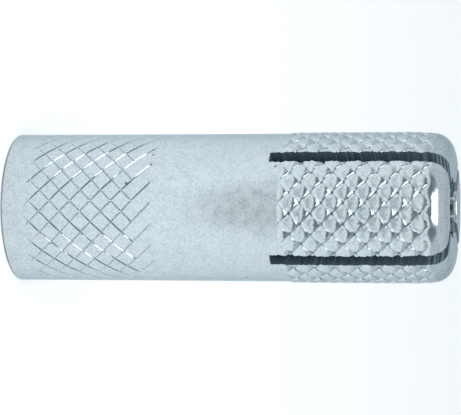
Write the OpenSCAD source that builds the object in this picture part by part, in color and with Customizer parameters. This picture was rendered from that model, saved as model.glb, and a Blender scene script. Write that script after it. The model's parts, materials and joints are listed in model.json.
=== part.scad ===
// Drop-in anchor: a slotted and knurled steel sleeve with a tapered expander plug held inside.
// The anchor stands on its threaded mouth end. The origin is the centre of the mouth face,
// +Z runs along the axis to the expansion end, and the four leaves face +X, +Y, -X and -Y.

/* [Sleeve] */
// Wall of the plain barrel outside the nominal diameter of the thread
wall = 1; // [0.8:0.05:1.5]
// Radius of the rounding at the expansion end
nose_round = 1.35; // [0.8:0.05:1.6]
// Chamfer round the outside of the mouth
mouth_chamfer = 0.15; // [0.05:0.05:0.4]

/* [Thread] */
// Nominal diameter of the internal metric thread
thread_d = 8; // [7:0.1:10]
// Pitch of the internal thread
thread_pitch = 1.25; // [1:0.05:1.5]
// Length of the threaded stretch, from the mouth
thread_len = 13; // [11:0.5:16]
// How far the countersink opens past the nominal diameter, on each side
countersink_extra = 0.1; // [0.05:0.05:0.3]

/* [Plug chamber and taper] */
// How far the thread crests stand in from the chamber wall, on each side
crest_lip = 0.2; // [0.16:0.01:0.3]
// Length of the cone that the plug is driven into
taper_len = 9.2; // [8:0.1:10]
// Diameter of the hole in the expansion end
end_hole_d = 4; // [3:0.1:4.4]
// Length of the straight land in that hole
end_land = 0.8; // [0.4:0.1:1.2]

/* [Slots] */
// Angle that the front leaf spans between the two saw cuts; they are square to each other at 90
saw_angle = 86; // [84:1:94]
// Width of each saw cut
slot_w = 0.86; // [0.5:0.02:1]
// Length of the slots, from the expansion end
slot_len = 11.8; // [9:0.1:13]

/* [Knurl] */
// Grooves of each hand round the sleeve
knurl_count = 22; // [16:2:26]
// Angle of the grooves to the axis
knurl_angle = 45; // [38:1:52]
// Distance from the mouth to the shallow band
shallow_start = 2; // [1.5:0.1:3]
// Length of the shallow band
shallow_len = 8.5; // [6:0.5:9.5]
// Depth of the grooves in the shallow band
shallow_depth = 0.12; // [0.08:0.01:0.2]
// Distance from the expansion end to the coarse band
coarse_end_gap = 0.95; // [0.7:0.05:2]
// Length of the coarse band
coarse_len = 10.1; // [8:0.1:11]
// Depth of the grooves in the coarse band, below the barrel
coarse_depth = 0.24; // [0.15:0.01:0.3]
// How far the diamonds of the coarse band are raised above the barrel
coarse_raise = 0.08; // [0.04:0.01:0.2]

/* [Expander plug] */
// Overall length of the plug
plug_len = 8; // [6.5:0.1:8.5]
// Length of the straight tail, at the thread end
plug_tail_len = 2.5; // [1.5:0.1:3.5]
// Radial running clearance between the plug and the chamber
plug_clearance = 0.05; // [0.03:0.01:0.08]
// Gap between the thread and the tail before the plug is driven
plug_rest_gap = 0.3; // [0.2:0.05:0.6]
// Free travel of the plug, until its cone has closed on the sleeve's cone to the clearance
plug_travel = 4.2; // [3:0.1:6]
// Chamfer round the tail
plug_tail_chamfer = 0.3; // [0.1:0.05:0.5]
// Chamfer round the nose
plug_nose_chamfer = 0.45; // [0.2:0.05:0.7]

/* [Hidden] */
$fn = 96;

// Crests of a metric internal thread stand in by this many pitches, measured on the diameter
CREST_PITCHES = 1.0825;
// Overshoot of a cut past the surface that it leaves
CUT = 1;
// How far a knurled skin runs under the plain barrel at each end
SKIN_LAP = 0.06;
// How far the edge of a knurled skin lies below the plain barrel
SKIN_DROP = 0.02;
// Depth of a knurled skin's inside below its grooves
SKIN_ROOT = 0.3;
// Depth of the turned core below the same grooves, less than SKIN_ROOT so that the two overlap
CORE_ROOT = 0.12;
// Share of each half diagonal that a diamond's flat top takes, from its centre
SHALLOW_TOP = 0.8;
COARSE_TOP = 0.62;
// Turn of each band about the axis, as its roller happened to meet the blank
SHALLOW_TURN = 1.9;
COARSE_TURN = 3.6;

body_r = thread_d / 2 + wall;
body_len = thread_len + plug_rest_gap + plug_tail_len + plug_travel + taper_len + end_land;
nose_start = body_len - nose_round;
thread_minor_r = (thread_d - CREST_PITCHES * thread_pitch) / 2;
countersink_r = thread_d / 2 + countersink_extra;
countersink_depth = countersink_r - thread_minor_r;
chamber_r = thread_minor_r + crest_lip;
end_hole_r = end_hole_d / 2;
taper_end = body_len - end_land;
taper_start = taper_end - taper_len;
taper_slope = (chamber_r - end_hole_r) / taper_len;
coarse_start = body_len - coarse_end_gap - coarse_len;

plug_r = chamber_r - plug_clearance;
plug_z = thread_len + plug_rest_gap;
plug_nose_r = plug_r - (plug_len - plug_tail_len) * taper_slope;

// Radius of the plain outside at a height, with the rounding at the expansion end
function surface_r(z) =
    z <= nose_start
        ? body_r
        : body_r - nose_round + sqrt(max(nose_round * nose_round - pow(z - nose_start, 2), 0));

function point(r, turn, z) = [r * cos(turn), r * sin(turn), z];

// A knurled skin is a ring whose outside is computed on a grid of half pitches. Grooves of both
// hands cross at every second grid point. A diamond is centred on each of the others, with its
// corners on the four crossings round it and a flat top between them. The first and last rows
// run out level with the barrel, and the ring laps under the barrel at both ends.
module knurl_skin(z0, len, depth, raise, top, turn) {
    cols = 2 * knurl_count;
    step = 360 / cols;
    rows = 2 * round(len * tan(knurl_angle) * knurl_count / (2 * PI * body_r));
    rise = len / rows;
    z1 = z0 + len;
    root_r = body_r - depth - SKIN_ROOT;

    function is_crossing(col, row) = (col + row) % 2 == 0;
    function is_end(row) = row == 0 || row == rows;
    function skin_point(col, row, lift) =
        let (z = z0 + row * rise)
        point(surface_r(z) + lift, turn + col * step, z);
    function ring(r, z) = [for (col = [0:cols - 1]) point(r, turn + col * step, z)];

    grid = [
        for (row = [0:rows])
            for (col = [0:cols - 1])
                skin_point(col, row, is_end(row) ? -SKIN_DROP : is_crossing(col, row) ? -depth : raise)
    ];
    // West, up, east and down corners of each flat top, clockwise as seen from outside
    tops = [
        for (row = [1:rows - 1])
            for (col = [0:cols - 1])
                if (!is_crossing(col, row))
                    each [
                        skin_point(col - top, row, raise),
                        skin_point(col, row + top, raise),
                        skin_point(col + top, row, raise),
                        skin_point(col, row - top, raise)
                    ]
    ];
    low_lap = ring(surface_r(z0) - SKIN_DROP, z0 - SKIN_LAP);
    low_root = ring(root_r, z0 - SKIN_LAP);
    high_root = ring(root_r, z1 + SKIN_LAP);
    high_lap = ring(surface_r(z1 + SKIN_LAP) - SKIN_DROP, z1 + SKIN_LAP);

    tops_base = len(grid);
    low_base = tops_base + len(tops);
    function at(col, row) = row * cols + (col + cols) % cols;
    function top_at(col, row, k) = tops_base + ((row - 1) * knurl_count + floor(col / 2)) * 4 + k % 4;
    function on_ring(ring, col) = low_base + ring * cols + col % cols;

    diamond_faces = [
        for (row = [1:rows - 1])
            for (col = [0:cols - 1])
                if (!is_crossing(col, row))
                    let (around = [at(col - 1, row), at(col, row + 1), at(col + 1, row), at(col, row - 1)])
                    for (k = [0:3])
                        each [
                            [at(col, row), top_at(col, row, k), top_at(col, row, k + 1)],
                            [top_at(col, row, k), around[k], around[(k + 1) % 4]],
                            [top_at(col, row, k), around[(k + 1) % 4], top_at(col, row, k + 1)]
                        ]
    ];
    run_out_faces = [
        for (col = [1:2:cols - 1])
            each [
                [at(col - 1, 0), at(col, 1), at(col, 0)],
                [at(col, 0), at(col, 1), at(col + 1, 0)],
                [at(col - 1, rows), at(col, rows), at(col, rows - 1)],
                [at(col, rows), at(col + 1, rows), at(col, rows - 1)]
            ]
    ];
    lap_faces = [
        for (col = [0:cols - 1])
            each [
                [on_ring(0, col), at(col, 0), at(col + 1, 0), on_ring(0, col + 1)],
                [on_ring(0, col), on_ring(0, col + 1), on_ring(1, col + 1), on_ring(1, col)],
                [on_ring(1, col), on_ring(1, col + 1), on_ring(2, col + 1), on_ring(2, col)],
                [on_ring(2, col), on_ring(2, col + 1), on_ring(3, col + 1), on_ring(3, col)],
                [on_ring(3, col), on_ring(3, col + 1), at(col + 1, rows), at(col, rows)]
            ]
    ];
    polyhedron(
        points = concat(grid, tops, low_lap, low_root, high_root, high_lap),
        faces = concat(diamond_faces, run_out_faces, lap_faces),
        convexity = 6
    );
}

// Half section of the outside, before the bores and the beds of the knurled skins
module outside_section() {
    polygon([
        [0, 0],
        [body_r - mouth_chamfer, 0],
        [body_r, mouth_chamfer],
        [body_r, nose_start],
        [0, nose_start]
    ]);
    translate([0, nose_start - CUT])
        square([body_r - nose_round, nose_round + CUT]);
    intersection() {
        translate([body_r - nose_round, nose_start])
            circle(nose_round);
        square([body_r, body_len]);
    }
}

// Half section of everything inside, from the countersink to the hole in the expansion end
module inside_section() {
    polygon([
        [0, -CUT],
        [countersink_r + CUT, -CUT],
        [thread_minor_r, countersink_depth],
        [thread_minor_r, thread_len],
        [chamber_r, thread_len + crest_lip],
        [chamber_r, taper_start],
        [end_hole_r, taper_end],
        [end_hole_r, body_len + CUT],
        [0, body_len + CUT]
    ]);
}

// Bed in the turned core that a knurled skin fills
module skin_bed(z0, len, depth) {
    bed_r = body_r - depth - CORE_ROOT;
    translate([bed_r, z0])
        square([body_r - bed_r + CUT, len]);
}

module turned_core() {
    rotate_extrude()
        difference() {
            outside_section();
            inside_section();
            skin_bed(shallow_start, shallow_len, shallow_depth);
            skin_bed(coarse_start, coarse_len, coarse_depth);
        }
}

module slots() {
    for (side = [-1, 1])
        rotate(90 + side * saw_angle / 2)
            translate([-body_r - CUT, -slot_w / 2, body_len - slot_len])
                cube([2 * (body_r + CUT), slot_w, slot_len + CUT]);
}

module sleeve() {
    color([0.78, 0.83, 0.86])
        difference() {
            union() {
                turned_core();
                knurl_skin(shallow_start, shallow_len, shallow_depth, -SKIN_DROP, SHALLOW_TOP, SHALLOW_TURN);
                knurl_skin(coarse_start, coarse_len, coarse_depth, coarse_raise, COARSE_TOP, COARSE_TURN);
            }
            slots();
        }
}

module expander_plug() {
    color([0.45, 0.47, 0.49])
        translate([0, 0, plug_z])
            rotate_extrude()
                polygon([
                    [0, 0],
                    [plug_r - plug_tail_chamfer, 0],
                    [plug_r, plug_tail_chamfer],
                    [plug_r, plug_tail_len],
                    [plug_nose_r + plug_nose_chamfer * taper_slope, plug_len - plug_nose_chamfer],
                    [plug_nose_r - plug_nose_chamfer, plug_len],
                    [0, plug_len]
                ]);
}

sleeve();
expander_plug();
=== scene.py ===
import json
import math

import bpy
from mathutils import Matrix, Vector, noise


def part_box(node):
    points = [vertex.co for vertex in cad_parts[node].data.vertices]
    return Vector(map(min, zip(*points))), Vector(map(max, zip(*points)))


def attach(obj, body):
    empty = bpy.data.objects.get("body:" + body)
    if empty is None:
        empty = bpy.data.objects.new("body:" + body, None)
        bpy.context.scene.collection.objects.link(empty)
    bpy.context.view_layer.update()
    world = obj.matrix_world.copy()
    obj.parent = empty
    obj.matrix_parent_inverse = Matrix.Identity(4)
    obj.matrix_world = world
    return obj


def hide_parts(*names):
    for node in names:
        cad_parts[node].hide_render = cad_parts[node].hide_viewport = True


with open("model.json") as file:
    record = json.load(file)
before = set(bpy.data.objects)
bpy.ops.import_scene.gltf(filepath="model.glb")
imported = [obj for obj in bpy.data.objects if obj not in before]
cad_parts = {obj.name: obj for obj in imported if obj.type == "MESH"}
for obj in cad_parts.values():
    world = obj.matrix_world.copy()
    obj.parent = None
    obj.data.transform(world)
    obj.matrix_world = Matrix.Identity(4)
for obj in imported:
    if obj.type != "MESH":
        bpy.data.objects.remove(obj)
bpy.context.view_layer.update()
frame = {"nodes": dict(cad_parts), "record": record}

mm = 0.001
degree = math.pi / 180
mounts = {mount["name"]: mount for mount in frame["record"]["mounts"]}
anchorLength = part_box("sleeve")[1].z


def linear(hexText):
    # sRGB hex to the linear colour that the sockets take
    def channel(value):
        return value / 12.92 if value <= 0.04045 else ((value + 0.055) / 1.055) ** 2.4

    digits = hexText.lstrip("#")
    return tuple(channel(int(digits[i:i + 2], 16) / 255) for i in (0, 2, 4)) + (1.0,)


def addNode(tree, kind, links=(), **settings):
    # one node with its settings; links are values, nodes or sockets, by place or by input name
    node = tree.nodes.new(kind)
    for key, value in settings.items():
        setattr(node, key, value)
    for place, value in (links.items() if isinstance(links, dict) else enumerate(links)):
        if isinstance(value, bpy.types.Node):
            value = value.outputs[0]
        if isinstance(value, bpy.types.NodeSocket):
            tree.links.new(value, node.inputs[place])
        elif value is not None:
            node.inputs[place].default_value = value
    return node


def newMaterial(name):
    material = bpy.data.materials.new(name)
    material.use_nodes = True
    material.node_tree.nodes.clear()
    return material, material.node_tree


def addObject(name, data):
    made = bpy.data.objects.new(name, data)
    bpy.context.scene.collection.objects.link(made)
    return made


# Camera: the photo looks down on the lying axis from a little past the expansion end, so the
# standing anchor is seen with its axis to the right of the picture
cameraView = {
    "place": (-2.926, -164.97, 50.0),   # mm
    "aim": (0.0, 0.0, 14.778),          # mm
    "roll": -0.0026,                    # radians
    "lens": 193.94,                     # mm
    "sensor": 36.0,                     # mm
    "clip": (0.01, 20.0),               # metres
}


def makeCamera():
    place = Vector(cameraView["place"]) * mm
    forward = (Vector(cameraView["aim"]) * mm - place).normalized()
    right = forward.cross(Vector((-1, 0, 0))).normalized()   # the picture's right is about +Z
    up = right.cross(forward)
    cosine, sine = math.cos(cameraView["roll"]), math.sin(cameraView["roll"])
    right, up = right * cosine + up * sine, up * cosine - right * sine
    data = bpy.data.cameras.new("photoCamera")
    data.sensor_width = cameraView["sensor"]
    data.lens = cameraView["lens"]
    data.clip_start, data.clip_end = cameraView["clip"]
    camera = addObject("photoCamera", data)
    turn = Matrix((right, up, -forward)).transposed().to_4x4()
    camera.matrix_world = Matrix.Translation(place) @ turn
    bpy.context.scene.camera = camera


makeCamera()
print("camera done")

# Studio: a pale tent, a soft lamp high in front and a pale floor
studio = {
    "tent": "#eef4f8",
    "tentStrength": 0.85,
    # parts of the tent with their own colour and strength; their left, right, bottom and top edges
    # are degrees, seen from the anchor toward the camera, where left is the picture's top
    "patches": (
        ("#d5dcdf", 0.92, -27.0, 27.0, -50.0, 90.0),   # the darker gap round the camera
        ("#f4f8fa", 1.2, -80.0, 80.0, -10.0, 7.0),     # a pale card low in front
        ("#8a9397", 0.92, -58.0, 58.0, 12.0, 58.0),    # a dark card over the camera
    ),
    "softness": 2.5,          # degrees, half the width of a patch's soft edge
    "floor": "#f1f3f4",
    "floorFront": 66.0,       # mm from the axis to the floor's front edge
    "floorReach": 3000.0,     # mm
    "floorLift": 0.3,         # added for camera and mirror rays, so that the lit floor is white
    "lampElevation": 55.0,    # degrees
    "lampShift": -4.0,        # mm, toward the picture's top
    "lampDistance": 260.0,    # mm
    "lampSize": (170.0, 160.0),
    "lampPower": 0.29,        # watts, for a tent this small
}


def makeWorld():
    world = bpy.data.worlds.new("tent")
    world.use_nodes = True
    tree = world.node_tree
    tree.nodes.clear()
    direction = addNode(tree, "ShaderNodeTexCoord").outputs["Generated"]
    split = addNode(tree, "ShaderNodeSeparateXYZ", (direction,))
    toFront = addNode(tree, "ShaderNodeMath", (split.outputs["Y"], -1.0), operation="MULTIPLY")
    side = addNode(tree, "ShaderNodeMath", (split.outputs["X"], toFront), operation="ARCTAN2")
    height = addNode(tree, "ShaderNodeMath", (split.outputs["Z"],), operation="ARCSINE")
    surround = addNode(tree, "ShaderNodeBackground", (linear(studio["tent"]), studio["tentStrength"]))
    soft = studio["softness"]
    for colour, strength, left, right, low, high in studio["patches"]:
        mask = 1.0
        for value, edge, inward in ((side, left, soft), (side, right, -soft),
                                    (height, low, soft), (height, high, -soft)):
            start, end = (edge - inward) * degree, (edge + inward) * degree
            ramp = addNode(tree, "ShaderNodeMapRange", (value, start, end),
                           interpolation_type="SMOOTHSTEP")
            mask = addNode(tree, "ShaderNodeMath", (mask, ramp), operation="MULTIPLY")
        shade = addNode(tree, "ShaderNodeBackground", (linear(colour), strength))
        surround = addNode(tree, "ShaderNodeMixShader", (mask, surround, shade))
    white = addNode(tree, "ShaderNodeBackground", ((1.0, 1.0, 1.0, 1.0), 1.0))
    seen = addNode(tree, "ShaderNodeLightPath").outputs["Is Camera Ray"]
    shown = addNode(tree, "ShaderNodeMixShader", (seen, surround, white))
    addNode(tree, "ShaderNodeOutputWorld", (shown,))
    bpy.context.scene.world = world


def makeFloor():
    reach = studio["floorReach"] * mm
    front = -studio["floorFront"] * mm
    corners = [(-reach, front, 0), (reach, front, 0), (reach, reach, 0), (-reach, reach, 0)]
    mesh = bpy.data.meshes.new("floor")
    mesh.from_pydata(corners, [], [(0, 1, 2, 3)])
    material, tree = newMaterial("paperFloor")
    paper = addNode(tree, "ShaderNodeBsdfDiffuse", (linear(studio["floor"]),))
    path = addNode(tree, "ShaderNodeLightPath").outputs
    shown = path["Is Camera Ray"]
    for ray in ("Is Glossy Ray", "Is Transmission Ray"):
        shown = addNode(tree, "ShaderNodeMath", (shown, path[ray]), operation="MAXIMUM")
    lift = addNode(tree, "ShaderNodeMath", (shown, studio["floorLift"]), operation="MULTIPLY")
    glow = addNode(tree, "ShaderNodeEmission", ((1.0, 1.0, 1.0, 1.0), lift))
    both = addNode(tree, "ShaderNodeAddShader", (paper, glow))
    addNode(tree, "ShaderNodeOutputMaterial", (both,))
    mesh.materials.append(material)
    floor = addObject("floor", mesh)


def makeLamp():
    data = bpy.data.lights.new("softLamp", "AREA")
    data.shape = "RECTANGLE"
    data.size, data.size_y = (value * mm for value in studio["lampSize"])
    data.energy = studio["lampPower"]
    lamp = addObject("softLamp", data)
    tilt = studio["lampElevation"] * degree
    away = Vector((0, -math.cos(tilt), math.sin(tilt)))
    middle = Vector((studio["lampShift"] * mm, 0, anchorLength / 2))
    lamp.location = middle + away * studio["lampDistance"] * mm
    lamp.rotation_euler = (-away).to_track_quat("-Z", "Y").to_euler()


makeWorld()
makeFloor()
makeLamp()
bpy.context.scene.view_settings.view_transform = "Standard"
print("studio done")

# Zinc plate: bright blue-white electroplate over cold-formed steel. The eye sees a pale, cool
# satin with faint mottling, fine turning lines round the barrel and a few tiny dark pits.
zincPlate = {
    "pale": "#cad3d7",
    "cool": "#b5c0c6",
    "rim": "#989490",         # a darker brownish grey on the lowest part of the mouth, below rimWidth
    "rimWidth": 0.12,         # mm
    "pit": "#5d686e",
    "edge": "#ccd6da",        # what is left at a grazing angle
    "roughness": (0.11, 0.22),
    "roughLevels": (0.3, 0.7),     # of the mottling, from the smoothest to the roughest
    "mottleSize": 0.7,        # mm
    "grainSize": 0.16,        # mm, drawn coarser than the real crystals so that it shows
    "grainShare": 0.7,        # of the grain in the colour's pattern, the rest is mottling
    "colourLevels": (0.36, 0.6),   # of that pattern, from cool to pale
    "grainDepth": 0.0035,     # mm
    "turningPitch": 0.16,     # mm along the axis
    "turningStretch": 0.12,   # scale round the barrel against the scale along it
    "turningDepth": 0.0012,   # mm
    "pitSpacing": 2.2,        # mm
    "pitSize": (0.055, 0.0275),    # from the pit's rim to its full dark, as shares of the spacing
}


def makeZincPlate():
    material, tree = newMaterial("blueWhiteZincPlate")
    place = addNode(tree, "ShaderNodeTexCoord").outputs["Object"]
    mottle = addNode(tree, "ShaderNodeTexNoise", {
        "Vector": place, "Scale": 1 / (zincPlate["mottleSize"] * mm), "Detail": 4.0, "Roughness": 0.55})
    grain = addNode(tree, "ShaderNodeTexNoise", {
        "Vector": place, "Scale": 1 / (zincPlate["grainSize"] * mm), "Detail": 3.0, "Roughness": 0.6})
    # thin along the axis and long round the barrel
    stretch = zincPlate["turningStretch"]
    along = addNode(tree, "ShaderNodeMapping", {"Vector": place, "Scale": (stretch, stretch, 1.0)})
    turning = addNode(tree, "ShaderNodeTexNoise", {
        "Vector": along, "Scale": 1 / (zincPlate["turningPitch"] * mm), "Detail": 2.0, "Roughness": 0.5})
    pits = addNode(tree, "ShaderNodeTexVoronoi", {
        "Vector": place, "Scale": 1 / (zincPlate["pitSpacing"] * mm), "Randomness": 1.0})
    pitMask = addNode(tree, "ShaderNodeMapRange", (pits.outputs["Distance"], *zincPlate["pitSize"]),
                      interpolation_type="SMOOTHSTEP")
    # a Mix node's inputs go by place: 2 and 3 are plain values, and 6 and 7 are colours
    pattern = addNode(tree, "ShaderNodeMix", {
        0: zincPlate["grainShare"], 2: mottle.outputs[0], 3: grain.outputs[0]})
    shade = addNode(tree, "ShaderNodeMapRange", (pattern, *zincPlate["colourLevels"]),
                    interpolation_type="SMOOTHSTEP")
    height = addNode(tree, "ShaderNodeSeparateXYZ", (place,)).outputs["Z"]
    rimMask = addNode(tree, "ShaderNodeMapRange", (height, zincPlate["rimWidth"] * mm, 0.0))
    colour = linear(zincPlate["cool"])
    for mask, over in ((shade, "pale"), (pitMask, "pit"), (rimMask, "rim")):
        mixed = addNode(tree, "ShaderNodeMix", {0: mask, 6: colour, 7: linear(zincPlate[over])},
                        data_type="RGBA")
        colour = mixed.outputs[2]
    roughness = addNode(tree, "ShaderNodeMapRange",
                        (mottle.outputs[0], *zincPlate["roughLevels"], *zincPlate["roughness"]))
    turned = addNode(tree, "ShaderNodeBump", {
        "Height": turning.outputs[0], "Strength": 1.0, "Distance": zincPlate["turningDepth"] * mm})
    grained = addNode(tree, "ShaderNodeBump", {
        "Height": grain.outputs[0], "Strength": 1.0, "Distance": zincPlate["grainDepth"] * mm,
        "Normal": turned})
    metal = addNode(tree, "ShaderNodeBsdfPrincipled", {
        "Base Color": colour, "Metallic": 1.0, "Roughness": roughness, "Normal": grained,
        "Specular Tint": linear(zincPlate["edge"])})
    addNode(tree, "ShaderNodeOutputMaterial", (metal,))
    return material


# Sawn steel: the walls of the saw cuts, bare and dark, with the blade's fine lines
sawnSteel = {
    "dark": "#8b9ca9",
    "light": "#a9b9c5",
    "roughness": 0.56,
    "linePitch": 0.07,        # mm
    "lineStretch": 0.2,       # scale across the cut against the scale along it
    "lineDepth": 0.004,       # mm
}


def makeSawnSteel():
    material, tree = newMaterial("sawnSteel")
    place = addNode(tree, "ShaderNodeTexCoord").outputs["Object"]
    stretch = sawnSteel["lineStretch"]
    along = addNode(tree, "ShaderNodeMapping", {"Vector": place, "Scale": (stretch, stretch, 1.0)})
    lines = addNode(tree, "ShaderNodeTexNoise", {
        "Vector": along, "Scale": 1 / (sawnSteel["linePitch"] * mm), "Detail": 3.0})
    colour = addNode(tree, "ShaderNodeMix", {
        0: lines.outputs[0], 6: linear(sawnSteel["dark"]), 7: linear(sawnSteel["light"])},
        data_type="RGBA")
    bump = addNode(tree, "ShaderNodeBump", {
        "Height": lines.outputs[0], "Strength": 1.0, "Distance": sawnSteel["lineDepth"] * mm})
    metal = addNode(tree, "ShaderNodeBsdfPrincipled", {
        "Base Color": colour.outputs[2], "Metallic": 1.0, "Roughness": sawnSteel["roughness"],
        "Normal": bump})
    addNode(tree, "ShaderNodeOutputMaterial", (metal,))
    return material


# Turned steel: the plug, zinc plated too, with the lathe's feed lines; its colours are darkened to grey
# as painted shade for the closed bore
turnedSteelPaintedShade = {
    # both ends of the mottle hold painted shade: the plate's pale tone darkened to grey for the closed
    # bore
    "dark": "#66717a",
    "light": "#8e9aa2",
    "roughness": 0.38,
    "feedPitch": 0.754,       # mm, drawn coarser than the real feed so that it shows
    "feedDepth": 0.003,       # mm
    "mottleSize": 0.5,        # mm
}
waveRadians = 20              # that a wave texture of scale 1 runs through in a metre


def makeTurnedSteel():
    material, tree = newMaterial("turnedPlugSteelPaintedShade")
    place = addNode(tree, "ShaderNodeTexCoord").outputs["Object"]
    feedScale = 2 * math.pi / (turnedSteelPaintedShade["feedPitch"] * mm) / waveRadians
    feed = addNode(tree, "ShaderNodeTexWave", {
        "Vector": place, "Scale": feedScale, "Distortion": 0.6, "Detail": 2.0}, bands_direction="Z")
    mottle = addNode(tree, "ShaderNodeTexNoise", {
        "Vector": place, "Scale": 1 / (turnedSteelPaintedShade["mottleSize"] * mm), "Detail": 3.0})
    # the mottle mixes two colours that are both darkened with painted shade
    colour = addNode(tree, "ShaderNodeMix", {
        0: mottle.outputs[0], 6: linear(turnedSteelPaintedShade["dark"]), 7: linear(turnedSteelPaintedShade["light"])},
        data_type="RGBA")
    bump = addNode(tree, "ShaderNodeBump", {
        "Height": feed.outputs["Fac"], "Strength": 1.0, "Distance": turnedSteelPaintedShade["feedDepth"] * mm})
    metal = addNode(tree, "ShaderNodeBsdfPrincipled", {
        "Base Color": colour.outputs[2], "Metallic": 1.0, "Roughness": turnedSteelPaintedShade["roughness"],
        "Normal": bump})
    addNode(tree, "ShaderNodeOutputMaterial", (metal,))
    return material


zincMaterial = makeZincPlate()
sawnMaterial = makeSawnSteel()
plugMaterial = makeTurnedSteel()
print("materials done")

# Sleeve: lengths in mm along the axis from the mouth, as in the solid model
sleeve = {
    "barrelRadius": mounts["barrel"]["dims"]["r_mm"],
    "length": anchorLength / mm,
    "mouthChamfer": 0.15,
    "mouthRing": 0.35,        # a ring of the mesh between the chamfer and the first band
    "bandMargin": 0.05,       # plain ring beside each band, so that its relief doesn't shade the barrel
    "plainSteps": 10,
    "knurlCount": 22,
    "knurlInside": 4.5,       # radius within which nothing is knurled
    "noseRound": 1.35,
    "noseSteps": 9,
    "endHoleRadius": 2.0,
    "endHoleRound": 0.16,
    "endHoleSteps": 5,
    "endLand": 0.8,
    "taperLength": 9.2,
    "chamberRadius": 3.5234,
    "boreColumns": 96,
    "sharpAngle": 22.0,       # degrees, above which an edge of the mesh is shaded sharp
}

# Internal thread: the metric profile, with flat crests and roots and 60 degree flanks
thread = {
    "crestRadius": mounts["thread"]["dims"]["r_mm"],
    "rootRadius": 4.0,
    "pitch": 1.25,
    "length": 13.0,
    "fade": 1.4,              # pitches over which the last turn runs out
    "halfGroove": 0.375,      # pitches from the middle of a root to the crest's edge
    "flank": 0.3125,          # pitches
    "lines": (-0.0625, 0.0625, 0.22, 0.375, 0.5, 0.625, 0.78),   # of the mesh, in pitches
    "snap": 0.01,             # mm, a line closer than this to an end joins it
    "countersinkRadius": 4.1,
}

# Each knurled band: its place, and how its grooves are cut. Slash grooves climb to the right in
# the photo and backslash grooves fall. A groove's slope is its side toward the mouth, and its wall is
# its side toward the nose, with their widths as shares of the spacing. Lengths are in mm.
shallowBand = {
    "start": 0.583, "length": 9.917, "pitches": 7,
    "turn": 1.9,                     # degrees round the axis
    "raise": 0.0, "sink": 1.0,       # the diamonds' height, and over what length it ends
    "slashDepth": 0.072, "slashSlope": 0.06, "slashWall": 0.045,
    "backDepth": 0.068, "backSlope": 0.06, "backWall": 0.045,
    "backShort": 1.2,                # how far before the band's end the backslash grooves stop
    "bridge": 0.0,                   # share of their depth that is bridged
    "cornerDepth": 0.0, "cornerSlope": 0.3, "cornerWall": 0.3,   # where the grooves cross
    "crown": 0.0, "crownTop": 0.5,   # drop from a diamond's top, and the top's place along it
    "fadeLow": 3.0, "fadeHigh": 0.35,
    "wear": 0.35,                    # largest share of the depth that the roller missed
    "dents": 0.0,
    "lines": (0.0, 0.03, 0.06, 0.3, 0.5, 0.7, 0.94, 0.97),   # of the mesh, between two grooves
}
coarseBand = {
    "start": 18.95, "length": 10.1, "pitches": 7, "turn": 3.6,
    "raise": 0.08, "sink": 1.6,
    "slashDepth": 0.06, "slashSlope": 0.08, "slashWall": 0.05,
    "backDepth": 0.02, "backSlope": 0.12, "backWall": 0.15,
    "backShort": 0.0,
    "bridge": 0.4,
    "cornerDepth": 0.2, "cornerSlope": 0.44, "cornerWall": 0.22,
    "crown": 0.055, "crownTop": 0.62,
    "fadeLow": 0.3, "fadeHigh": 0.35,
    "wear": 0.4, "dents": 0.022,
    "lines": (0.0, 0.025, 0.05, 0.12, 0.2, 0.38, 0.62, 0.7, 0.8, 0.88, 0.95, 0.975),
}


def latticeLine(band, index):
    # lines of the mesh between two grooves of one hand, closer together beside the groove; the list
    # is the same from both ends, which keeps the band's edges level
    lines = band["lines"]
    return index // len(lines) + lines[index % len(lines)]


class Shell:
    # points and faces of one closed shell, built ring by ring along its section
    def __init__(self):
        self.points = []
        self.faces = []

    def point(self, radius, angle, z):
        self.points.append((radius * math.cos(angle) * mm, radius * math.sin(angle) * mm, z * mm))
        return len(self.points) - 1

    def ring(self, radius, z, angles):
        return [(self.point(radius, angle, z), angle) for angle in angles]

    def bridge(self, first, second):
        # joins two rings of the same count or of different counts, in order of angle
        if len(first) == len(second):
            for k in range(len(first)):
                m = (k + 1) % len(first)
                self.faces.append((first[k][0], first[m][0], second[m][0], second[k][0]))
            return
        i = j = 0
        turn = 2 * math.pi
        startFirst, startSecond = first[0][1], second[0][1]
        while i < len(first) or j < len(second):
            nextFirst = first[(i + 1) % len(first)][1] + turn * ((i + 1) // len(first)) - startFirst
            nextSecond = second[(j + 1) % len(second)][1] + turn * ((j + 1) // len(second)) - startSecond
            a, b = first[i % len(first)][0], second[j % len(second)][0]
            if j >= len(second) or (i < len(first) and nextFirst <= nextSecond):
                self.faces.append((a, first[(i + 1) % len(first)][0], b))
                i += 1
            else:
                self.faces.append((a, second[(j + 1) % len(second)][0], b))
                j += 1

    def rings(self, previous, section, angles):
        # one ring for each radius and height of a section, joined to the ring before it
        for radius, z in section:
            ring = self.ring(radius, z, angles)
            self.bridge(previous, ring)
            previous = ring
        return previous


def surfaceRadius(z):
    noseStart = sleeve["length"] - sleeve["noseRound"]
    if z <= noseStart:
        return sleeve["barrelRadius"]
    rise = min(z - noseStart, sleeve["noseRound"])
    return sleeve["barrelRadius"] - sleeve["noseRound"] + math.sqrt(sleeve["noseRound"] ** 2 - rise ** 2)


def ringAngles(band):
    step = 2 * math.pi / sleeve["knurlCount"]
    count = sleeve["knurlCount"] * len(band["lines"])
    return [band["turn"] * degree + step * latticeLine(band, k) for k in range(count)]


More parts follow.
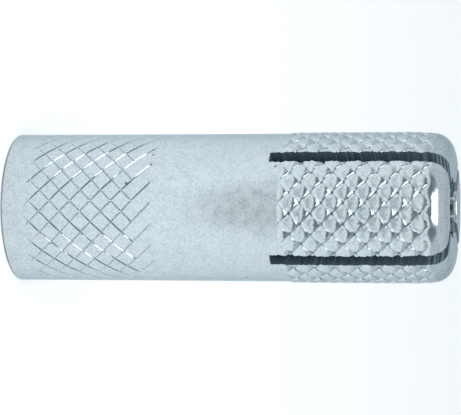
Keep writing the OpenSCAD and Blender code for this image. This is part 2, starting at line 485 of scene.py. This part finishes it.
def addBand(shell, band):
    # a lattice whose lines run along the grooves of both hands, so that each groove is an edge
    lines = len(band["lines"])
    columns = sleeve["knurlCount"] * lines
    rows = 2 * band["pitches"] * lines
    step = 2 * math.pi / sleeve["knurlCount"]
    pitch = band["length"] / band["pitches"]
    base = len(shell.points)
    for row in range(rows + 1):
        for column in range(columns):
            slash, back = latticeLine(band, column + row), latticeLine(band, column)
            z = band["start"] + pitch * (slash - back) / 2
            shell.point(surfaceRadius(z), band["turn"] * degree + step * (slash + back) / 2, z)

    def at(column, row):
        return base + row * columns + column % columns

    for column in range(columns):
        shell.faces.append((at(column, 0), at(column + 1, 0), at(column, 1)))
        for row in range(1, rows):
            shell.faces.append((at(column, row), at(column + 1, row - 1),
                                at(column + 1, row), at(column, row + 1)))
        shell.faces.append((at(column, rows), at(column + 1, rows - 1), at(column + 1, rows)))
    angles = ringAngles(band)
    low = [(at(k, 0), angles[k]) for k in range(columns)]
    high = [(at(k - band["pitches"] * lines, rows), angles[k]) for k in range(columns)]
    return low, high


def threadRadius(z, angle):
    crest, root = thread["crestRadius"], thread["rootRadius"]
    fromRoot = abs((z / thread["pitch"] - angle / (2 * math.pi) + 0.5) % 1.0 - 0.5)
    depth = min(max((thread["halfGroove"] - fromRoot) / thread["flank"], 0.0), 1.0)
    left = (thread["length"] - z) / (thread["fade"] * thread["pitch"])
    radius = crest + (root - crest) * depth * min(max(left, 0.0), 1.0)
    return max(radius, thread["countersinkRadius"] - z)


def addThread(shell):
    # rows follow the helix, so crests and roots are edges of the mesh
    lines = thread["lines"]
    columns = sleeve["boreColumns"]
    low = thread["countersinkRadius"] - thread["rootRadius"]
    high = thread["length"]
    angles = [2 * math.pi * k / columns for k in range(columns)]
    lowRing = [(shell.point(threadRadius(low, angle), angle, low), angle) for angle in angles]
    highRing = shell.ring(thread["crestRadius"], high, angles)
    made = {}

    def at(row, column):
        if column == columns:
            row, column = row + len(lines), 0
        z = thread["pitch"] * (row // len(lines) + lines[row % len(lines)] + column / columns)
        if z <= low + thread["snap"]:
            return lowRing[column][0]
        if z >= high - thread["snap"]:
            return highRing[column][0]
        if (row, column) not in made:
            angle = angles[column]
            made[row, column] = shell.point(threadRadius(z, angle), angle, z)
        return made[row, column]

    firstRow = -2 * len(lines)
    lastRow = math.ceil(high / thread["pitch"] + 1) * len(lines)
    for row in range(firstRow, lastRow):
        for column in range(columns):
            corners = (at(row + 1, column), at(row + 1, column + 1),
                       at(row, column + 1), at(row, column))
            corners = tuple(dict.fromkeys(corners))   # lines that were joined to an end give triangles
            if len(corners) > 2:
                shell.faces.append(corners)
    return lowRing, highRing


def addOutside(shell):
    # from the mouth's lip over both knurled bands to the start of the nose
    radius = sleeve["barrelRadius"]
    shallowAngles, coarseAngles = ringAngles(shallowBand), ringAngles(coarseBand)
    lip = shell.ring(radius - sleeve["mouthChamfer"], 0, shallowAngles)
    heights = (sleeve["mouthChamfer"], sleeve["mouthRing"], shallowBand["start"] - sleeve["bandMargin"])
    previous = shell.rings(lip, [(radius, z) for z in heights], shallowAngles)
    low, high = addBand(shell, shallowBand)
    shell.bridge(previous, low)
    plainStart = shallowBand["start"] + shallowBand["length"] + sleeve["bandMargin"]
    plainEnd = coarseBand["start"] - sleeve["bandMargin"]
    steps = sleeve["plainSteps"]
    plain = [(radius, plainStart + (plainEnd - plainStart) * k / steps) for k in range(steps)]
    previous = shell.rings(high, plain, shallowAngles)
    previous = shell.rings(previous, [(radius, plainEnd)], coarseAngles)
    low, high = addBand(shell, coarseBand)
    shell.bridge(previous, low)
    return lip, high


def noseSection():
    # the rest of the rounding, from the coarse band's end to the end face
    radius, length, nose = sleeve["barrelRadius"], sleeve["length"], sleeve["noseRound"]
    bandEnd = coarseBand["start"] + coarseBand["length"]
    firstTilt = math.asin((bandEnd - (length - nose)) / nose)
    section = []
    for k in range(1, sleeve["noseSteps"] + 1):
        tilt = firstTilt + (math.pi / 2 - firstTilt) * k / sleeve["noseSteps"]
        section.append((radius - nose * (1 - math.cos(tilt)), length - nose * (1 - math.sin(tilt))))
    return section


def endHoleSection():
    # the hole's rounded rim, the land, the cone and the chamber, down to the thread
    length = sleeve["length"]
    section = []
    for k in range(sleeve["endHoleSteps"] + 1):
        tilt = math.pi / 2 * k / sleeve["endHoleSteps"]
        section.append((sleeve["endHoleRadius"] + sleeve["endHoleRound"] * (1 - math.sin(tilt)),
                        length - sleeve["endHoleRound"] * (1 - math.cos(tilt))))
    taperEnd = length - sleeve["endLand"]
    section.append((sleeve["endHoleRadius"], taperEnd))
    section.append((sleeve["chamberRadius"], taperEnd - sleeve["taperLength"]))
    step = sleeve["chamberRadius"] - thread["crestRadius"]
    section.append((sleeve["chamberRadius"], thread["length"] + step))
    return section


def buildSleeveShell():
    shell = Shell()
    lip, previous = addOutside(shell)
    previous = shell.rings(previous, noseSection(), ringAngles(coarseBand))
    boreAngles = [2 * math.pi * k / sleeve["boreColumns"] for k in range(sleeve["boreColumns"])]
    previous = shell.rings(previous, endHoleSection(), boreAngles)
    lowRing, highRing = addThread(shell)
    shell.bridge(previous, highRing)
    countersink = shell.ring(thread["countersinkRadius"], 0, boreAngles)
    shell.bridge(lowRing, countersink)
    shell.bridge(countersink, lip)
    return shell


# Saw cuts: two right across, on the diagonals between the leaves
sawCuts = {
    "angles": (47.0, 133.0),  # degrees
    "width": 0.86,            # mm
    "start": 18.2,            # mm
    "step": 0.06,             # mm between the wobbles of the cut's edge
    "wobble": (0.08, 0.3),    # mm, the slow wobble's size and length
    "teeth": (0.06, 0.1),     # mm, the quick one's
    "seeds": (7.3, 3.1, 5.7),      # of the wobbles, for a cut, a side and a half
    "halfStart": 1.2,         # mm from the axis, in the open bore, where each half starts
    "overshoot": 1.0,         # mm
}


def makeSawBlade(number, turnDegrees):
    # a slab with uneven sides, different on its two halves, that is taken away from the sleeve
    reach = sleeve["barrelRadius"] + sawCuts["overshoot"]
    top = sleeve["length"] + sawCuts["overshoot"]
    count = round((top - sawCuts["start"]) / sawCuts["step"])
    across = (-reach, -sawCuts["halfStart"], sawCuts["halfStart"], reach)
    cutSeed, sideSeed, halfSeed = sawCuts["seeds"]
    points = []
    for k in range(count + 1):
        z = sawCuts["start"] + (top - sawCuts["start"]) * k / count
        for side in (-1, 1):
            for m, x in enumerate(across):
                half = m // 2
                seed = (number * cutSeed + side * sideSeed, half * halfSeed)
                wobble = 0.0
                for size, length in (sawCuts["wobble"], sawCuts["teeth"]):
                    wobble += size * noise.noise(Vector((z / length, *seed)))
                points.append((x, side * (sawCuts["width"] / 2 + wobble), z))
    faces = []
    ringSize = 2 * len(across)
    loop = (0, 1, 2, 3, 7, 6, 5, 4)   # along one side of the slab and back along the other
    for k in range(0, count * ringSize, ringSize):
        for a, b in zip(loop, loop[1:] + loop[:1]):
            faces.append((k + a, k + b, k + ringSize + b, k + ringSize + a))
    faces.append(tuple(reversed(loop)))
    faces.append(tuple(count * ringSize + k for k in loop))
    turn = Matrix.Rotation(turnDegrees * degree, 4, "Z")
    mesh = bpy.data.meshes.new("sawBlade")
    mesh.from_pydata([turn @ (Vector(p) * mm) for p in points], [], faces)
    mesh.materials.append(zincMaterial)
    mesh.materials.append(sawnMaterial)
    for polygon in mesh.polygons:
        polygon.material_index = 1
    return addObject("sawBlade", mesh)


# Knurling: the tree's inputs, with the band's value and its unit
knurlInputs = {
    "Start": ("start", mm), "Length": ("length", mm), "Turn": ("turn", degree),
    "Raise": ("raise", mm), "Sink": ("sink", mm),
    "Slash Depth": ("slashDepth", mm), "Slash Slope": ("slashSlope", 1.0),
    "Slash Wall": ("slashWall", 1.0), "Back Depth": ("backDepth", mm),
    "Back Slope": ("backSlope", 1.0), "Back Wall": ("backWall", 1.0),
    "Back Short": ("backShort", mm), "Bridge": ("bridge", 1.0),
    "Corner Depth": ("cornerDepth", mm), "Corner Slope": ("cornerSlope", 1.0),
    "Corner Wall": ("cornerWall", 1.0), "Crown": ("crown", mm), "Crown Top": ("crownTop", 1.0),
    "Fade Low": ("fadeLow", mm), "Fade High": ("fadeHigh", mm),
    "Wear": ("wear", 1.0), "Dents": ("dents", mm),
}
rolling = {
    "bridged": (0.1, 0.6),    # of the way from one slash groove to the next, where a bridge thins out
    "biteScale": 900.0,       # per metre, patches of about 1.1 mm that the roller bit unevenly
    "biteLevels": (0.35, 0.65),
    "dentScale": 2600.0,      # per metre, dents of about 0.4 mm
    "dentLevels": (0.3, 0.7),
    "startShift": 0.0002,     # mm, so that a groove's own line counts as its far side
}


def makeKnurlTree():
    # presses a diamond knurl into the outside: grooves of two hands, counted round and along the axis
    tree = bpy.data.node_groups.new("rolledKnurl", "GeometryNodeTree")
    tree.interface.new_socket("Geometry", in_out="INPUT", socket_type="NodeSocketGeometry")
    for name in ("Groove Count", "Pitch", "Outside From", *knurlInputs):
        tree.interface.new_socket(name, in_out="INPUT", socket_type="NodeSocketFloat")
    tree.interface.new_socket("Material", in_out="INPUT", socket_type="NodeSocketMaterial")
    tree.interface.new_socket("Geometry", in_out="OUTPUT", socket_type="NodeSocketGeometry")
    given = addNode(tree, "NodeGroupInput").outputs
    place = addNode(tree, "GeometryNodeInputPosition")
    split = addNode(tree, "ShaderNodeSeparateXYZ", (place,))
    angle = addNode(tree, "ShaderNodeMath", (split.outputs["Y"], split.outputs["X"]),
                    operation="ARCTAN2")
    turned = addNode(tree, "ShaderNodeMath", (angle, given["Turn"]), operation="SUBTRACT")
    share = addNode(tree, "ShaderNodeMath", (turned, 2 * math.pi), operation="DIVIDE")
    around = addNode(tree, "ShaderNodeMath", (share, given["Groove Count"]), operation="MULTIPLY")
    above = addNode(tree, "ShaderNodeMath", (split.outputs["Z"], given["Start"]), operation="SUBTRACT")
    along = addNode(tree, "ShaderNodeMath", (above, given["Pitch"]), operation="DIVIDE")
    cuts = []
    ways = []
    corners = []
    for hand, operation in (("Slash", "ADD"), ("Back", "SUBTRACT")):
        # the way up the axis from one groove to the next: out of the groove over its wall, over the
        # diamond, and down the slope into the next groove
        count = addNode(tree, "ShaderNodeMath", (along, around), operation=operation)
        way = addNode(tree, "ShaderNodeMath", (count,), operation="FRACT")
        sides = []
        for kind in (hand, "Corner"):
            slopeStart = addNode(tree, "ShaderNodeMath", (1.0, given[kind + " Slope"]),
                                 operation="SUBTRACT")
            wall = addNode(tree, "ShaderNodeMapRange", (way, 0.0, given[kind + " Wall"], 1.0, 0.0))
            slope = addNode(tree, "ShaderNodeMapRange", (way, slopeStart, 1.0, 0.0, 1.0))
            sides.append(addNode(tree, "ShaderNodeMath", (wall, slope), operation="MAXIMUM"))
        cuts.append(addNode(tree, "ShaderNodeMath", (sides[0], given[hand + " Depth"]),
                            operation="MULTIPLY"))
        ways.append(way)
        corners.append(sides[1])
    # backslash grooves are partly bridged just past each slash groove, and can stop before the end
    bridged = addNode(tree, "ShaderNodeMapRange", (ways[0], *rolling["bridged"], given["Bridge"], 0.0),
                      interpolation_type="SMOOTHSTEP")
    opened = addNode(tree, "ShaderNodeMath", (1.0, bridged), operation="SUBTRACT")
    left = addNode(tree, "ShaderNodeMath", (given["Length"], above), operation="SUBTRACT")
    toStop = addNode(tree, "ShaderNodeMath", (left, given["Back Short"]), operation="SUBTRACT")
    running = addNode(tree, "ShaderNodeMapRange", (toStop, 0.0, given["Fade High"]))
    for limit in (opened, running):
        cuts[1] = addNode(tree, "ShaderNodeMath", (cuts[1], limit), operation="MULTIPLY")
    # the diamonds' corners are rolled down where the grooves cross
    crossing = addNode(tree, "ShaderNodeMath", corners, operation="MULTIPLY")
    rolled = addNode(tree, "ShaderNodeMath", (crossing, given["Corner Depth"]), operation="MULTIPLY")
    groove = addNode(tree, "ShaderNodeMath", cuts, operation="MAXIMUM")
    cut = addNode(tree, "ShaderNodeMath", (groove, rolled), operation="ADD")
    # each diamond has a low crown, whose top is nearer the nose
    bothWays = addNode(tree, "ShaderNodeMath", ways, operation="ADD")
    middle = addNode(tree, "ShaderNodeMath", (bothWays, 0.5), operation="MULTIPLY")
    fromTop = addNode(tree, "ShaderNodeMath", (middle, given["Crown Top"]), operation="SUBTRACT")
    topShare = addNode(tree, "ShaderNodeMath", (fromTop, given["Crown Top"]), operation="DIVIDE")
    square = addNode(tree, "ShaderNodeMath", (topShare, topShare), operation="MULTIPLY")
    crown = addNode(tree, "ShaderNodeMath", (square, given["Crown"]), operation="MULTIPLY")
    deepest = addNode(tree, "ShaderNodeMath", (cut, crown), operation="ADD")
    # the roller doesn't bite evenly
    patches = addNode(tree, "ShaderNodeTexNoise", {
        "Vector": place, "Scale": rolling["biteScale"], "Detail": 2.0})
    missed = addNode(tree, "ShaderNodeMapRange",
                     (patches.outputs[0], *rolling["biteLevels"], 0.0, given["Wear"]))
    bite = addNode(tree, "ShaderNodeMath", (1.0, missed), operation="SUBTRACT")
    bitten = addNode(tree, "ShaderNodeMath", (deepest, bite), operation="MULTIPLY")
    # the raised diamonds sink back to the plain surface before the nose
    raised = addNode(tree, "ShaderNodeMapRange", (left, 0.0, given["Sink"], 0.0, given["Raise"]))
    lifted = addNode(tree, "ShaderNodeMath", (raised, bitten), operation="SUBTRACT")
    # small dents all over the knurl
    spots = addNode(tree, "ShaderNodeTexNoise", {
        "Vector": place, "Scale": rolling["dentScale"], "Detail": 1.0})
    dents = addNode(tree, "ShaderNodeMapRange",
                    (spots.outputs[0], *rolling["dentLevels"], 0.0, given["Dents"]))
    moved = addNode(tree, "ShaderNodeMath", (lifted, dents), operation="SUBTRACT")
    # nothing happens off the band, on the inside, or past its run-outs
    for distance, end in ((above, "Fade Low"), (left, "Fade High")):
        fade = addNode(tree, "ShaderNodeMapRange", (distance, 0.0, given[end]),
                       interpolation_type="SMOOTHSTEP")
        moved = addNode(tree, "ShaderNodeMath", (moved, fade), operation="MULTIPLY")
    flat = addNode(tree, "ShaderNodeCombineXYZ", (split.outputs["X"], split.outputs["Y"], 0.0))
    radius = addNode(tree, "ShaderNodeVectorMath", (flat,), operation="LENGTH")
    outside = addNode(tree, "FunctionNodeCompare", (radius.outputs["Value"], given["Outside From"]),
                      data_type="FLOAT", operation="GREATER_THAN")
    normal = addNode(tree, "GeometryNodeInputNormal")
    outward = addNode(tree, "ShaderNodeVectorMath", {0: normal, "Scale": moved}, operation="SCALE")
    pressed = addNode(tree, "GeometryNodeSetPosition", {
        "Geometry": given["Geometry"], "Selection": outside, "Offset": outward})
    real = addNode(tree, "GeometryNodeRealizeInstances", (pressed,))
    finish = addNode(tree, "GeometryNodeSetMaterial", {"Geometry": real, "Material": given["Material"]})
    addNode(tree, "NodeGroupOutput", (finish,))
    return tree


def addKnurl(piece, tree, band):
    modifier = piece.modifiers.new("knurl", "NODES")
    modifier.node_group = tree
    values = {name: band[key] * unit for name, (key, unit) in knurlInputs.items()}
    values["Start"] -= rolling["startShift"] * mm
    values["Pitch"] = band["length"] / band["pitches"] * mm
    values["Groove Count"] = float(sleeve["knurlCount"])
    values["Outside From"] = sleeve["knurlInside"] * mm
    values["Material"] = zincMaterial
    for socket in tree.interface.items_tree:
        if socket.in_out == "INPUT" and socket.name in values:
            modifier[socket.identifier] = values[socket.name]


def makeSleeve():
    shell = buildSleeveShell()
    mesh = bpy.data.meshes.new("knurledSleeve")
    mesh.from_pydata(shell.points, [], shell.faces)
    mesh.shade_smooth()
    piece = addObject("knurledSleeve", mesh)
    tree = makeKnurlTree()
    addKnurl(piece, tree, shallowBand)
    addKnurl(piece, tree, coarseBand)
    blades = []
    for number, turnDegrees in enumerate(sawCuts["angles"]):
        blade = makeSawBlade(number, turnDegrees)
        cut = piece.modifiers.new("sawCut", "BOOLEAN")
        cut.operation = "DIFFERENCE"
        cut.solver = "MANIFOLD"
        cut.material_mode = "TRANSFER"
        cut.object = blade
        blades.append(blade)
    evaluated = piece.evaluated_get(bpy.context.evaluated_depsgraph_get())
    finished = bpy.data.meshes.new_from_object(evaluated)
    piece.modifiers.clear()
    piece.data = finished
    for blade in blades:
        bpy.data.objects.remove(blade)
    finished.set_sharp_from_angle(angle=sleeve["sharpAngle"] * degree)
    triangles = sum(len(polygon.vertices) - 2 for polygon in finished.polygons)
    print("sleeve:", len(finished.vertices), "points,", triangles, "triangles")
    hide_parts("sleeve")
    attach(piece, "sleeve")


makeSleeve()
print("sleeve done")

# Plug: the solid's shape is right, so it only takes its finish, whose darkened grey colour is painted
# shade
plug = frame["nodes"]["expander_plug"]
plug.data.materials.clear()
plug.data.materials.append(plugMaterial)
print("plug done")
